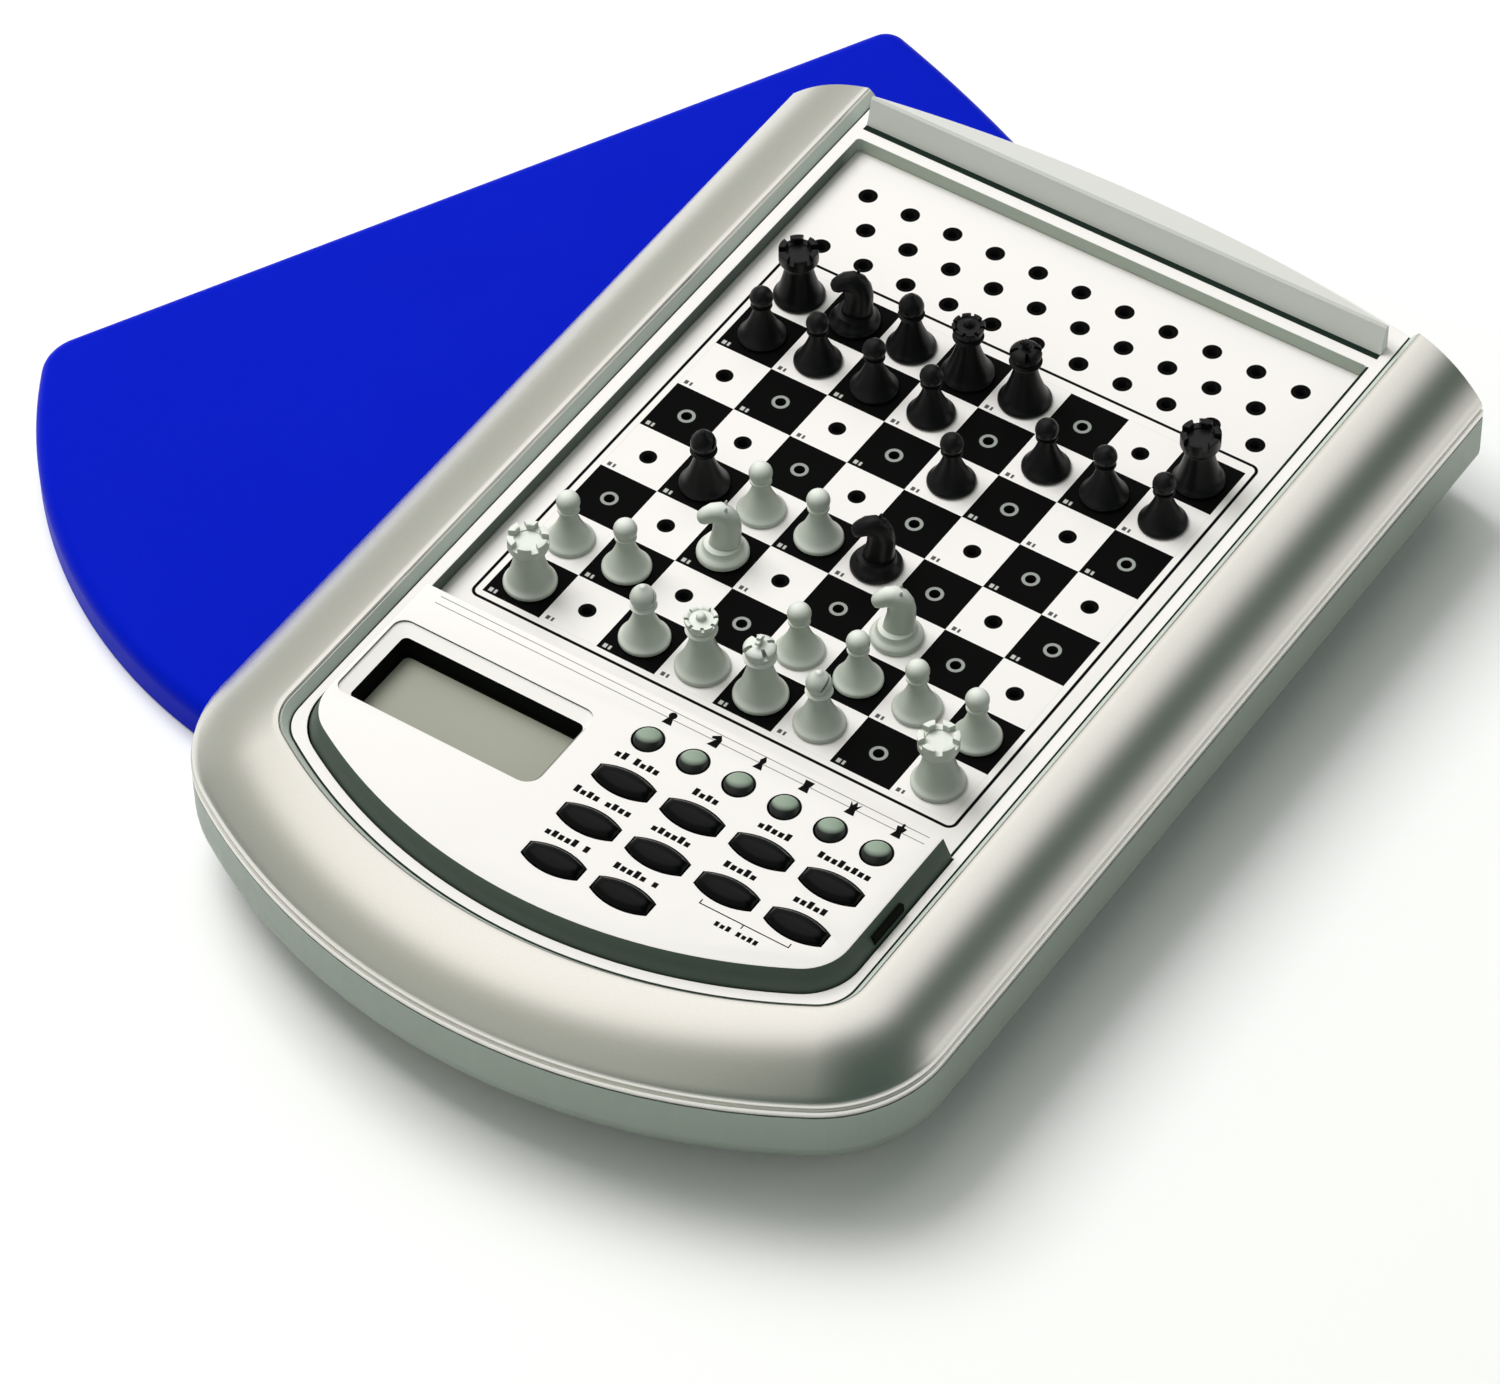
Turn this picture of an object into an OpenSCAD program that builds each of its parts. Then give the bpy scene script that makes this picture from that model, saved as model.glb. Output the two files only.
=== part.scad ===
// Travel chess computer: a peg board set into a slim case with a silver rim, a raised keypad with
// a display, storage holes for taken men, and a slide-on cover that lies under the case.
// Millimetres. X runs along the ranks (a to h), Y from the keypad to the far edge, Z is up.

/* [Board] */
// Side of one board square
square = 13; // [12:0.5:14]
// Diameter of the peg holes
hole_d = 2.2; // [2.2:0.1:3.6]
// Depth of the peg holes
hole_depth = 4.2; // [4:0.1:4.4]
// Distance between neighbouring storage holes
storage_pitch = 9.93; // [9:0.01:10.2]
// Distance between the rows of storage holes
storage_row_gap = 8.45; // [7:0.05:9]

/* [Case] */
// Width of the case
case_w = 160; // [158:1:166]
// Radius of the curved front edge
front_r = 130; // [120:1:150]
// Radius of the front corners
corner_r = 27; // [25:1:30]
// Radius of the far edge
rear_r = 364; // [300:1:500]
// Height of the lower case, up to the parting line
parting_z = 14.3; // [13:0.1:15]
// Thickness of the case walls
wall = 2.2; // [1.8:0.1:2.4]
// Width of the silver rim
rim_w = 17; // [15:0.5:18]

/* [Keypad] */
// Height of the raised keypad above the strip round the board
keypad_rise = 4.3; // [3:0.1:5]
// Travel of the keys
key_travel = 1.2; // [0.6:0.1:1.4]
// Diameter of the six round keys
round_key_d = 6; // [5:0.1:6.5]
// Length of the ten oval keys
oval_key_l = 12; // [11:0.1:12.6]
// Width of the ten oval keys
oval_key_w = 6; // [5:0.1:6.4]

/* [Chess men] */
// Height of a pawn above the board
pawn_h = 12.8; // [11:0.1:14]
// Diameter of the pegs under the men
peg_d = 2.06; // [1.8:0.02:2.06]
// Length of the pegs under the men
peg_l = 3.9; // [3:0.1:3.9]

/* [Cover] */
// Width of the cover
cover_w = 132; // [126:1:134]
// Length of the cover
cover_l = 219; // [210:1:225]
// Height of the cover
cover_h = 9; // [8:0.5:12]
// Turn of the cover against the case
cover_turn = 27.8; // [25:0.1:30]
// Place of the cover's middle, left of the board's middle
cover_left = 74.8; // [68:0.1:78]
// Place of the cover's middle, behind the board's middle
cover_back = 17; // [10:0.1:20]

/* [Hidden] */
$fn = 64;
eps = 0.01;
gap = 0.25; // clearance round keys, doors and loose trim
rest_gap = 0.02; // play between the case and the cover it lies on

// Heights above the underside of the case
floor_t = 2;
bottom_r = 5.5; // rounding of the lower edge
board_z = 19.5; // playing surface
board_t = 5;
strip_z = board_z + 3.5; // strip round the board
keypad_z = strip_z + keypad_rise;
rim_z = 25.3; // crown of the rim
rim_bevel = 1.6; // sloped inner edge of the rim, seen from above
bar_z = 29.2; // top of the bar behind the board

// Case outline
case_front_y = -138.5;
case_rear_y = 103;
case_front_cy = case_front_y + front_r;
case_rear_cy = case_rear_y - rear_r;
CASE = [case_w / 2, front_r, case_front_cy, corner_r];

// Board and storage
board_side = 8 * square;
storage_y = board_side / 2 + 7.4;
panel_half = case_w / 2 - rim_w - 2;
panel_front_y = -63.5;
panel_rear_y = 90;
recess_half = 58.4;
recess_rear_y = 86.1;

// Keypad block
keypad_half = 59;
keypad_front_r = 108;
keypad_corner_r = 12;
keypad_front_y = -117;
keypad_rear_y = -61.9;
keypad_draft = 2;
keypad_top_t = 2;
KEYPAD = [keypad_half, keypad_front_r, keypad_front_y + keypad_front_r, keypad_corner_r];

// Keys
round_key_y = -71.4;
round_key_x = -0.7;
round_key_pitch = 9.94;
oval_key_x = 1.6;
oval_key_pitch = 15;
oval_key_y = -82.5;
oval_row_gap = 11.05;
key_top_z = keypad_z + 1.3;
key_seat_z = keypad_z - keypad_top_t;
flange_t = 1;
flange_rim = 0.9;
key_foot_r = 1.6;
ROUND_KEYS = ["pawn", "knight", "bishop", "rook", "queen", "king"];
OVAL_KEYS = [
    ["go", 0, 0], ["info", 1, 0], ["level", 2, 0], ["position", 3, 0],
    ["take_back", 0, 1], ["option", 1, 1], ["clear", 2, 1], ["enter", 3, 1],
    ["white_side", 0, 2], ["black_side", 1, 2],
];

// Display
lcd_x = [-52.4, -12.8];
lcd_y = [-91.9, -74.7];
lcd_glass_z = 21.6;
lcd_body_h = 5.5;

// Inside the case
pcb_z = 12.8;
pcb_t = 1.6;
pcb_half = 56;
pcb_y = [-112, 40];
pcb_hole_r = 1.6;
PCB_HOLES = [for (x = [-50, 50], y = [-100, 30]) [x, y]];
mat_z = pcb_z + pcb_t;
mat_t = 1.4;
dome_h = 1.6;
key_foot_z = mat_z + mat_t + dome_h + key_travel + 0.2; // clear of the domes when pressed
cell_d = 10.5;
cell_l = 44.5;
cell_x = -56;
cell_y = 52;
cell_pitch = 11.4;
cell_z = 8.2;
door_x = [-60, -8];
door_y = [44, 100];
door_lip = 2;
SCREWS = [for (x = [-70, 70], y = [-85, 5, 84]) [x, y]];
screw_r = 1.3;
screw_head_r = 2.7;
screw_seat_z = 7;
boss_r = 3.6;

// Cover outline
cover_front_r = 115;
cover_rear_r = 350;
cover_corner_r = 10;
cover_rear_corner_r = 5;
cover_t = 1.8;
cover_round = 3;
COVER = [cover_w / 2, cover_front_r, cover_front_r - cover_l / 2, cover_corner_r];
COVER_REAR = [cover_w / 2, cover_rear_r, cover_rear_r - cover_l / 2, cover_rear_corner_r];

// Men: name, kind, file and rank (0 to 7), in the middle of a game
knight_turn = 34; // turn of the knights from looking along the rank to file a
MEN = [
    ["white_rook_1", "rook", 0, 0], ["white_rook_2", "rook", 7, 0],
    ["white_bishop_1", "bishop", 2, 0], ["white_bishop_2", "bishop", 5, 0],
    ["white_knight_1", "knight", 2, 2], ["white_knight_2", "knight", 5, 2],
    ["white_queen", "queen", 3, 0], ["white_king", "king", 4, 0],
    ["white_pawn_1", "pawn", 0, 1], ["white_pawn_2", "pawn", 1, 1],
    ["white_pawn_3", "pawn", 2, 3], ["white_pawn_4", "pawn", 3, 3],
    ["white_pawn_5", "pawn", 4, 1], ["white_pawn_6", "pawn", 5, 1],
    ["white_pawn_7", "pawn", 6, 1], ["white_pawn_8", "pawn", 7, 1],
    ["black_rook_1", "rook", 0, 7], ["black_rook_2", "rook", 7, 7],
    ["black_bishop_1", "bishop", 1, 3], ["black_bishop_2", "bishop", 2, 7],
    ["black_knight_1", "knight", 1, 7], ["black_knight_2", "knight", 4, 3],
    ["black_queen", "queen", 3, 7], ["black_king", "king", 4, 7],
    ["black_pawn_1", "pawn", 0, 6], ["black_pawn_2", "pawn", 1, 6],
    ["black_pawn_3", "pawn", 2, 6], ["black_pawn_4", "pawn", 3, 6],
    ["black_pawn_5", "pawn", 4, 5], ["black_pawn_6", "pawn", 5, 6],
    ["black_pawn_7", "pawn", 6, 6], ["black_pawn_8", "pawn", 7, 6],
];

CASE_NODES = [
    "lower_case", "upper_case", "top_frame", "board_panel", "display_module", "circuit_board",
    "key_mat", "batteries", "battery_contacts", "battery_door", "case_screws", "cover",
];

// ---- Frame: the middle of the whole object's box, at the surface it stands on ----

function plan_corner(p) =
    [p[0] - p[3], p[2] - sqrt(pow(p[1] - p[3], 2) - pow(p[0] - p[3], 2))];
function cover_to_case(p) = [
    p[0] * cos(cover_turn) + p[1] * sin(cover_turn) - cover_left,
    -p[0] * sin(cover_turn) + p[1] * cos(cover_turn) + cover_back
];
cover_front_left = cover_to_case([-plan_corner(COVER)[0], plan_corner(COVER)[1]]);
cover_rear_left = cover_to_case(-plan_corner(COVER_REAR));
box_x = [cover_front_left[0] - cover_corner_r, case_w / 2];
box_y = [case_front_y, cover_rear_left[1] + cover_rear_corner_r];
case_origin = [-(box_x[0] + box_x[1]) / 2, -(box_y[0] + box_y[1]) / 2, cover_h + rest_gap];

module in_frame() {
    translate(case_origin) children();
}

// ---- Plan shapes: straight sides, rounded corners and a curved front, open at the rear ----

module rear_edge(inset = 0) {
    translate([0, case_rear_cy]) circle(r = rear_r - inset, $fn = 256);
}

// p = [half width, front radius, y of the front radius's centre, corner radius]
// Points along a plan's edge at one level, from the far right round the front to the far left
function ring(p, inset, z, corner_n = 10, front_n = 18, far = 400) =
    let (c = plan_corner(p), slope = atan2(c[1] - p[2], c[0]), sweep = 180 + 2 * slope)
    concat(
        [[p[0] - inset, far, z]],
        [for (i = [0 : corner_n]) let (a = slope * i / corner_n)
            [c[0] + (p[3] - inset) * cos(a), c[1] + (p[3] - inset) * sin(a), z]],
        [for (i = [1 : front_n - 1]) let (a = slope - sweep * i / front_n)
            [(p[1] - inset) * cos(a), p[2] + (p[1] - inset) * sin(a), z]],
        [for (i = [corner_n : -1 : 0]) let (a = 180 - slope * i / corner_n)
            [-c[0] + (p[3] - inset) * cos(a), c[1] + (p[3] - inset) * sin(a), z]],
        [[-p[0] + inset, far, z]]
    );

module plan(p, inset = 0) {
    polygon([for (q = ring(p, inset, 0)) [q[0], q[1]]]);
}

// Solid whose edge follows a plan, with its own inset at each level: levels = [[inset, z], ...]
module stack(p, levels) {
    rings = [for (l = levels) ring(p, l[0], l[1])];
    n = len(rings[0]);
    top = (len(levels) - 1) * n;
    polyhedron(
        points = [for (r = rings) each r],
        faces = concat(
            [[for (i = [n - 1 : -1 : 0]) i], [for (i = [0 : n - 1]) top + i]],
            [for (k = [0 : len(levels) - 2], i = [0 : n - 1]) let (j = (i + 1) % n)
                [k * n + i, k * n + j, (k + 1) * n + j, (k + 1) * n + i]]
        )
    );
}

// Keeps what lies in front of the curved rear edge
module inside_rear(inset = 0, h = 80) {
    intersection() {
        union() children();
        linear_extrude(h, center = true) rear_edge(inset);
    }
}

module slab(inset, z0, z1) {
    translate([0, 0, z0]) linear_extrude(z1 - z0) plan(CASE, inset);
}

function arc(cx, cy, r, a0, a1, n = 6) =
    [for (i = [0 : n]) let (a = a0 + (a1 - a0) * i / n) [cx + r * cos(a), cy + r * sin(a)]];

// ---- Case ----

module lower_case() {
    skin = concat(arc(bottom_r, bottom_r, bottom_r, 270, 180), [[0, parting_z]]);
    color("#a9aba4") in_frame() difference() {
        union() {
            difference() {
                inside_rear() stack(CASE, skin);
                inside_rear(wall) {
                    slab(bottom_r + 1, floor_t, parting_z + 1);
                    slab(wall, bottom_r, parting_z + 1);
                }
            }
            for (s = SCREWS) translate([s[0], s[1], floor_t / 2])
                cylinder(r = boss_r, h = parting_z - 0.1 - floor_t / 2);
            for (p = PCB_HOLES) translate([p[0], p[1], floor_t / 2]) {
                cylinder(r = boss_r, h = pcb_z - floor_t / 2);
                cylinder(r = pcb_hole_r - 0.1, h = pcb_z + pcb_t - floor_t / 2);
            }
            door_rails();
        }
        for (s = SCREWS) translate([s[0], s[1], -1]) {
            cylinder(r = screw_r + 0.2, h = parting_z + 2);
            cylinder(r = screw_head_r + 0.3, h = screw_seat_z + 1);
        }
        door_space(gap);
    }
}

// Thicker floor each side of the door, which holds its grooves
module door_rails() {
    for (x = [door_x[0] - door_lip - 1.5, door_x[1] - door_lip - 0.5])
        translate([x, door_y[0] - 3, 0]) cube([4 + door_lip, door_y[1] - door_y[0] - 1, floor_t + 2]);
}

// Opening for the door: narrow at the underside, wider above, out through the rear wall
module door_space(c) {
    translate([door_x[0] - c, door_y[0] - c, -1])
        cube([door_x[1] - door_x[0] + 2 * c, 80, 2.2]);
    translate([door_x[0] - door_lip - c, door_y[0] - c, 1.2 - c])
        cube([door_x[1] - door_x[0] + 2 * (door_lip + c), 80, 1.2 + 2 * c]);
    translate([door_x[0] + door_lip, door_y[0] + door_lip, 1])
        cube([door_x[1] - door_x[0] - 2 * door_lip, door_y[1] - door_y[0] - 8, 5]);
}

module battery_door() {
    color("#a9aba4") in_frame() intersection() {
        difference() {
            union() {
                translate([door_x[0], door_y[0], 0.3])
                    cube([door_x[1] - door_x[0], 60, 1.9]);
                translate([door_x[0] - door_lip, door_y[0], 1.2])
                    cube([door_x[1] - door_x[0] + 2 * door_lip, 60, 1.0]);
            }
            for (i = [0 : 4]) translate([(door_x[0] + door_x[1]) / 2, 84 + 2.4 * i, 0])
                cube([18 - 2 * i, 1, 1.4], center = true);
        }
        linear_extrude(4) rear_edge(0.4);
    }
}

RIM_SKIN = [
    [0, parting_z], [0, 16.8], [0.4, 17.7], [1.2, 18.5], [2.4, 19.5], [4.4, 20.9], [7, 22.4],
    [10, 23.7], [13, 24.5], [15.6, 25.1], [16.4, rim_z],
];
RIM_HOLLOW = [
    [wall, parting_z - 1], [wall, 16.6], [5, 18.9], [9, 21.2], [12.6, 22.3], [rim_w - wall, 22.7],
];
RIM_OPENING = [
    [rim_w + rim_bevel, board_z - 0.1], [rim_w + rim_bevel, strip_z], [rim_w, rim_z], [rim_w, rim_z + 1],
];

module upper_case() {
    color("#c2beb4") in_frame() difference() {
        union() {
            difference() {
                inside_rear() stack(CASE, RIM_SKIN);
                stack(CASE, RIM_OPENING);
                inside_rear(wall) {
                    difference() {
                        stack(CASE, RIM_HOLLOW);
                        slab(rim_w - wall, board_z, rim_z);
                    }
                }
            }
            for (s = SCREWS) translate([s[0], s[1], parting_z]) cylinder(r = boss_r, h = 6.4);
        }
        for (s = SCREWS) translate([s[0], s[1], parting_z - 1]) cylinder(r = screw_r, h = 6);
    }
}

// ---- Top frame: strip round the board, raised keypad and the bar behind the board ----

module top_frame() {
    color("#ece6e2") in_frame() difference() {
        union() {
            strip();
            keypad_block();
            rear_bar();
        }
        for (i = [0 : 5]) translate([round_key_x + i * round_key_pitch, round_key_y, strip_z])
            cylinder(d = round_key_d + 2 * gap, h = 8);
        for (k = OVAL_KEYS) translate(concat(oval_key_place(k), strip_z))
            linear_extrude(8) oval_plan(gap);
        translate([lcd_x[0], lcd_y[0], strip_z])
            cube([lcd_x[1] - lcd_x[0], lcd_y[1] - lcd_y[0], 8]);
    }
}

module strip() {
    translate([0, 0, board_z]) linear_extrude(strip_z - board_z) difference() {
        intersection() {
            plan(CASE, rim_w + rim_bevel + 0.1);
            rear_edge();
        }
        translate([-recess_half, keypad_rear_y])
            square([2 * recess_half, recess_rear_y - keypad_rear_y]);
        intersection() {
            plan(KEYPAD, 1.6);
            translate([-case_w, keypad_rear_y - case_w - 2]) square([2 * case_w, case_w]);
        }
    }
}

module keypad_block() {
    skin = [[0, board_z], [0, strip_z], [keypad_draft, keypad_z]];
    hollow = [[1.8, board_z - 1], [1.8, strip_z], [keypad_draft + 1.6, keypad_z - keypad_top_t]];
    difference() {
        stack(KEYPAD, skin);
        difference() {
            stack(KEYPAD, hollow);
            translate([-case_w, keypad_rear_y - 2, 0]) cube([2 * case_w, 500, 50]);
        }
        translate([-case_w, keypad_rear_y, 0]) cube([2 * case_w, 500, 50]);
    }
}

module rear_bar() {
    bar_half = 59;
    bar_front_y = 90;
    intersection() {
        translate([-bar_half, 0, 0]) rotate([90, 0, 90]) linear_extrude(2 * bar_half) polygon([
            [bar_front_y, strip_z - 1], [bar_front_y + 1.8, bar_z], [case_rear_y, bar_z],
            [case_rear_y, strip_z - 1],
        ]);
        linear_extrude(60) rear_edge(5.4);
    }
}

module board_panel() {
    color("#f2eeec") in_frame() difference() {
        translate([-panel_half, panel_front_y, board_z - board_t])
            cube([2 * panel_half, panel_rear_y - panel_front_y, board_t]);
        for (f = [0 : 7], r = [0 : 7])
            translate(concat(square_middle(f, r), board_z - hole_depth)) peg_hole();
        for (row = [0 : 2], i = [0 : row == 1 ? 9 : 10])
            translate(concat(storage_place(row, i), board_z - hole_depth)) peg_hole();
    }
}

function square_middle(f, r) = [(f - 3.5) * square, (r - 3.5) * square];
function storage_place(row, i) =
    [(i - (row == 1 ? 4.5 : 5)) * storage_pitch, storage_y + row * storage_row_gap];

module peg_hole() {
    cylinder(d = hole_d, h = hole_depth + 1);
}

// ---- Keys ----

function oval_key_place(k) =
    [oval_key_x + k[1] * oval_key_pitch, oval_key_y - k[2] * oval_row_gap];

// Barrel plan: a wide ellipse-like lens cut straight at both ends
module oval_plan(c = 0) {
    bulge_r = (pow(oval_key_l / 2, 2) + pow(oval_key_w / 4, 2)) / (oval_key_w / 2);
    intersection() {
        square([oval_key_l + 2 * c, oval_key_w + 2 * c], center = true);
        translate([0, oval_key_w / 2 - bulge_r]) circle(r = bulge_r + c);
        translate([0, bulge_r - oval_key_w / 2]) circle(r = bulge_r + c);
    }
}

// Stem that pushes the mat's dome
module key_foot() {
    translate([0, 0, key_foot_z])
        cylinder(r = key_foot_r, h = key_seat_z - flange_t / 2 - key_foot_z);
}

module round_key(i) {
    r = round_key_d / 2;
    dome_r = 2 * r;
    color("#7f8a80") in_frame()
        translate([round_key_x + i * round_key_pitch, round_key_y, 0]) {
            key_foot();
            translate([0, 0, key_seat_z - flange_t]) cylinder(r = r + flange_rim, h = flange_t);
            intersection() {
                translate([0, 0, key_seat_z - eps]) cylinder(r = r, h = key_top_z - key_seat_z);
                translate([0, 0, key_top_z - dome_r]) sphere(r = dome_r);
            }
        }
}

module oval_key(k) {
    dome_r = 24;
    color("#1b1d1e") in_frame() translate(concat(oval_key_place(k), 0)) {
        key_foot();
        translate([0, 0, key_seat_z - flange_t]) linear_extrude(flange_t) oval_plan(flange_rim);
        intersection() {
            translate([0, 0, key_seat_z - eps])
                linear_extrude(key_top_z - key_seat_z) oval_plan();
            translate([0, 0, key_top_z - dome_r]) sphere(r = dome_r, $fn = 96);
        }
    }
}

// ---- Inside the case ----

module display_module() {
    color("#aeb09f") in_frame() {
        display_layer(2.5, mat_z, mat_z + lcd_body_h);
        display_layer(1.5, mat_z + lcd_body_h, lcd_glass_z);
    }
}

module display_layer(margin, z0, z1) {
    translate([lcd_x[0] - margin, lcd_y[0] - margin, z0])
        cube([lcd_x[1] - lcd_x[0] + 2 * margin, lcd_y[1] - lcd_y[0] + 2 * margin, z1 - z0]);
}

module circuit_board() {
    chip = [14, 14, 1.8];
    color("#2f6b3c") in_frame() {
        difference() {
            translate([-pcb_half, pcb_y[0], pcb_z])
                cube([2 * pcb_half, pcb_y[1] - pcb_y[0], pcb_t]);
            for (p = PCB_HOLES) translate([p[0], p[1], pcb_z - 1]) cylinder(r = pcb_hole_r, h = 5);
        }
        // processor, memory, resonator and sounder on the underside
        translate([-20, -55, pcb_z - chip[2]]) cube(chip);
        translate([8, -52, pcb_z - chip[2]]) cube([10, 7, chip[2]]);
        translate([24, -50, pcb_z - 3]) cylinder(r = 1.6, h = 3);
        translate([-34, -20, pcb_z - 4.5]) cylinder(r = 8, h = 4.5);
    }
}

module key_mat() {
    color("#8b8f8b") in_frame() {
        translate([-6, -111, mat_z]) cube([60, 46, mat_t]);
        for (i = [0 : 5]) mat_dome([round_key_x + i * round_key_pitch, round_key_y]);
        for (k = OVAL_KEYS) mat_dome(oval_key_place(k));
    }
}

module mat_dome(place) {
    translate([place[0], place[1], mat_z + mat_t - eps])
        cylinder(r1 = 2.8, r2 = 2, h = dome_h, $fn = 32);
}

module batteries() {
    color("#3b4a55") in_frame() for (i = [0 : 2])
        translate([cell_x, cell_y + i * cell_pitch, cell_z])
            rotate([0, i % 2 == 0 ? 90 : -90, 0]) translate([0, 0, i % 2 == 0 ? 0 : -cell_l]) {
                cylinder(d = cell_d, h = cell_l - 1);
                cylinder(d = 3.8, h = cell_l);
            }
}

// Flat plate at each cell's nub and a tapered coil at its flat end
module battery_contacts() {
    plate = [0.4, 9, 8];
    coil_l = 2.4;
    color("#c9c9c4") in_frame() for (i = [0 : 2]) translate([cell_x, cell_y + i * cell_pitch, cell_z]) {
        nub_right = i % 2 == 0;
        right = nub_right ? cell_l : cell_l + coil_l;
        left = nub_right ? -coil_l - plate[0] : -plate[0];
        for (x = [left, right]) translate([x, -plate[1] / 2, -plate[2] / 2]) cube(plate);
        translate([nub_right ? 0 : cell_l, 0, 0]) rotate([0, nub_right ? -90 : 90, 0])
            contact_coil(coil_l);
    }
}

module contact_coil(l) {
    wire_r = 0.4;
    turns = 4;
    for (i = [0 : turns - 1])
        translate([0, 0, wire_r + i * (l - wire_r) / turns])
            rotate_extrude($fn = 32) translate([1.6 + 0.5 * i, 0]) circle(r = wire_r, $fn = 16);
}

module case_screws() {
    color("#8d9094") in_frame() for (s = SCREWS) translate([s[0], s[1], 0]) difference() {
        union() {
            translate([0, 0, screw_seat_z - 2]) cylinder(r = screw_head_r, h = 2);
            translate([0, 0, screw_seat_z - eps]) cylinder(r = screw_r, h = 11);
        }
        for (a = [0, 90]) rotate([0, 0, a]) translate([0, 0, screw_seat_z - 2])
            cube([3.2, 0.6, 1.6], center = true);
    }
}

// ---- Cover ----

module cover() {
    skin = concat([[0, 0]],
                  arc(cover_round, cover_h - cover_round, cover_round, 180, 90));
    hollow = [[cover_t, -1], [cover_t, cover_h - cover_t - 1.2],
              [cover_t + 1.2, cover_h - cover_t]];
    color("#0a1fb4") translate([case_origin[0] - cover_left, case_origin[1] + cover_back, 0])
        rotate([0, 0, -cover_turn]) difference() {
            intersection() {
                stack(COVER, skin);
                translate([0, 0, -1]) linear_extrude(cover_h + 2) cover_ends();
            }
            intersection() {
                stack(COVER, hollow);
                translate([0, -cover_t, -2]) linear_extrude(cover_h + 2) cover_ends();
            }
        }
}

module cover_ends() {
    rotate(180) plan(COVER_REAR);
}

// ---- Chess men, turned about their own axis, standing on z = 0 ----

module man_body(points) {
    rotate_extrude() polygon(concat([[0, -peg_l], [peg_d / 2 - 0.3, -peg_l],
        [peg_d / 2, -peg_l + 0.5], [peg_d / 2, 0]], points));
}

module pawn() {
    head_r = 2.3;
    man_body([[4.8, 0], [4.8, 0.9], [4.3, 1.7], [3.2, 4], [2.3, 6.6], [1.7, 8.4], [2.1, 8.8],
              [1.5, 9.4], [0, 9.4]]);
    translate([0, 0, pawn_h - head_r]) sphere(r = head_r, $fn = 32);
}

module rook() {
    top = 13;
    difference() {
        man_body([[5.2, 0], [5.2, 1.1], [4.7, 2], [3.8, 4.5], [3.1, 8], [3, 9], [3.8, 9.8],
                  [3.9, top], [0, top]]);
        translate([0, 0, top - 1.6]) cylinder(r = 2.6, h = 3);
        for (a = [0, 60, 120]) rotate([0, 0, a]) translate([0, 0, top])
            cube([9, 1.3, 2.6], center = true);
    }
}

module knight() {
    head_t = 4.2;
    man_body([[5.1, 0], [5.1, 1.1], [4.6, 2], [3.6, 3], [3.4, 3.6], [0, 3.6]]);
    translate([0, head_t / 2, 0]) rotate([90, 0, 0]) linear_extrude(head_t) polygon([
        [-3, 3], [3.2, 3], [3.5, 6], [3, 9], [1.6, 11.6], [0.4, 13.4], [-0.6, 12.4], [-2.6, 11.4],
        [-4.4, 9.4], [-4, 8.2], [-2.6, 8.4], [-0.9, 8.6], [-1.4, 7], [-2.8, 5],
    ]);
}

module bishop() {
    difference() {
        man_body([[5, 0], [5, 1.1], [4.5, 2], [3.3, 4.6], [2.3, 7.6], [1.9, 8.9], [2.7, 9.3],
                  [2, 9.8], [2.5, 11], [2.3, 12.3], [1.5, 13.6], [0.6, 14.4], [0, 14.5]]);
        translate([1.4, 0, 12.6]) rotate([0, -40, 0]) cube([3, 6, 0.6], center = true);
    }
}

module queen() {
    top = 13.6;
    difference() {
        man_body([[5.3, 0], [5.3, 1.2], [4.8, 2.1], [3.6, 5], [2.6, 8.6], [2.1, 10], [3, 10.4],
                  [2.4, 11], [3.2, top], [1.8, top - 0.8], [0, top]]);
        for (a = [0 : 45 : 135]) rotate([0, 0, a]) translate([0, 0, top + 0.2])
            cube([9, 0.8, 1.4], center = true);
    }
    translate([0, 0, top + 0.2]) sphere(r = 0.9, $fn = 24);
}

module king() {
    top = 13.4;
    man_body([[5.3, 0], [5.3, 1.2], [4.8, 2.1], [3.7, 5], [2.7, 9], [2.3, 10.4], [3.2, 10.9],
              [2.6, 11.5], [3.2, top - 0.4], [2, top], [0, top + 0.3]]);
    translate([-0.55, -0.5, top]) cube([1.1, 1, 2.8]);
    translate([-1.4, -0.5, top + 1]) cube([2.8, 1, 1]);
}

module man(m) {
    white = m[0][0] == "w";
    color(white ? "#c9ccc4" : "#17191a") in_frame()
        translate(concat(square_middle(m[2], m[3]), board_z)) {
            if (m[1] == "pawn") pawn();
            if (m[1] == "rook") rook();
            if (m[1] == "knight") rotate([0, 0, knight_turn]) knight();
            if (m[1] == "bishop") bishop();
            if (m[1] == "queen") queen();
            if (m[1] == "king") king();
        }
}

// ---- Nodes ----

lower_case();
upper_case();
top_frame();
board_panel();
display_module();
circuit_board();
key_mat();
batteries();
battery_contacts();
battery_door();
case_screws();
cover();
for (i = [0 : 5]) round_key(i);
for (k = OVAL_KEYS) oval_key(k);
for (m = MEN) man(m);
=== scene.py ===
import math

import bmesh
import bpy
from mathutils import Euler, Matrix, Vector


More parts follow.
